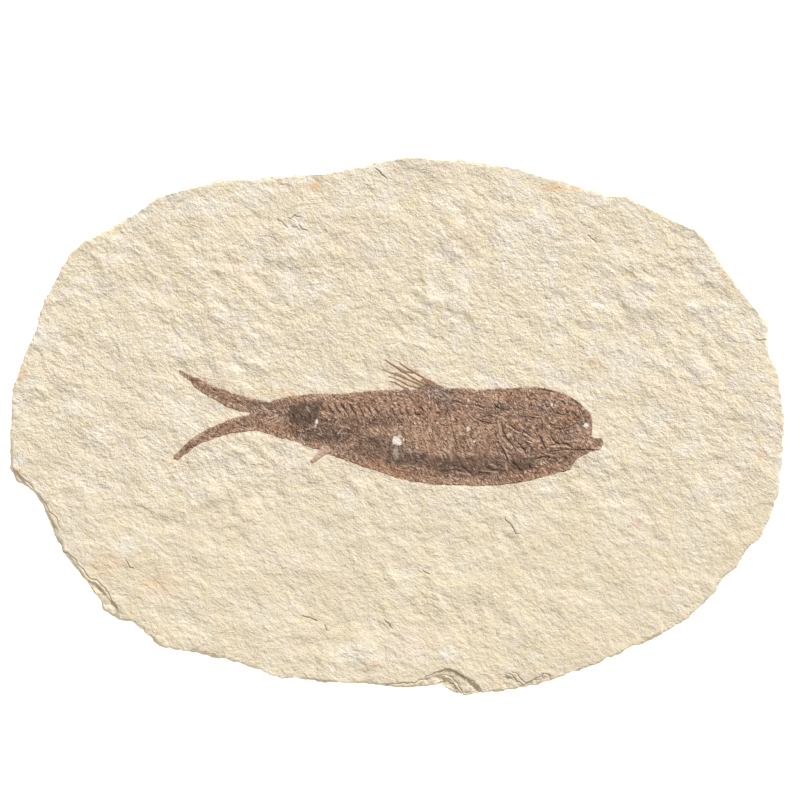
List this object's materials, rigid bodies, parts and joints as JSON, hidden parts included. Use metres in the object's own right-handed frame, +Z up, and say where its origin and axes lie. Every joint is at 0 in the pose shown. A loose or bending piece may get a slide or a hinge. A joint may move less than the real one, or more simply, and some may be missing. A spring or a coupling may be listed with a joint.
{
  "type": "fossil fish slab",
  "caption": "Thin oval slab of pale limestone with a broken edge and a small brown fossil fish lying in its upper face.",
  "frame": {"origin": "middle of the slab's flat underside", "axes": "+X along the slab's longest way, towards the fish's head; +Y towards the fish's back; +Z up, out of the face that shows the fish"},
  "size_m": [0.161, 0.112, 0.0099],
  "materials": {
    "limestone": "matt, split along the bedding, finely lumpy",
    "fossil": "matt to faintly waxy brown bone film"
  },
  "bodies": {
    "root": {"stone_slab": "limestone", "fossil_fish": "fossil"}
  },
  "joints": []
}
